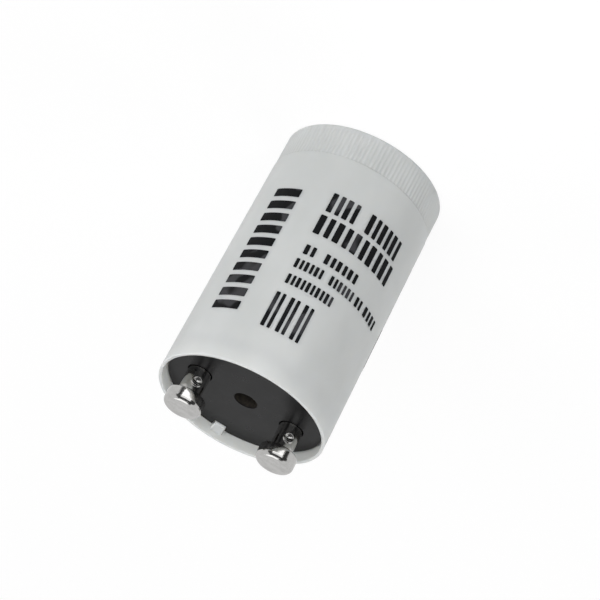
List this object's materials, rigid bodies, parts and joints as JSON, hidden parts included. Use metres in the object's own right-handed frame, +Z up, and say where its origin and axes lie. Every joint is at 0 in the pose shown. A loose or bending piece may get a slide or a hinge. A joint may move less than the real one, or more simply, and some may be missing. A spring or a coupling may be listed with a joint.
{
  "type": "fluorescent lamp starter",
  "caption": "White cylindrical fluorescent lamp starter with a ribbed grip band, a dark recessed base plate and bright mushroom-headed contact pins; glow lamp and capacitor inside.",
  "frame": {"origin": "centre of the can's closed end, the face that the starter stands on", "axes": "+Z up along the can's axis, from the closed end towards the contact pins; +X from the left pin to the right pin; +Y towards the key inside the mouth"},
  "size_m": [0.0216, 0.0216, 0.0397],
  "materials": {
    "can_plastic": "satin white moulded plastic",
    "plate_plastic": "semi-gloss black moulded plastic",
    "pin_plating": "bright nickel plate on drawn brass",
    "lamp_glass": "clear blown glass",
    "electrode_metal": "bare nickel rod",
    "bimetal": "dull rolled bimetal strip",
    "capacitor_resin": "dipped brown resin",
    "wire_metal": "tinned wire"
  },
  "bodies": {
    "root": {"can": "can_plastic", "base_plate": "plate_plastic", "contact_pin_left": "pin_plating", "contact_pin_right": "pin_plating", "glow_lamp_glass": "lamp_glass", "glow_lamp_stem": "lamp_glass", "fixed_electrode": "electrode_metal", "bimetal_strip": "bimetal", "capacitor": "capacitor_resin", "lamp_lead_left": "wire_metal", "lamp_lead_right": "wire_metal", "capacitor_lead_left": "wire_metal", "capacitor_lead_right": "wire_metal"}
  },
  "joints": []
}
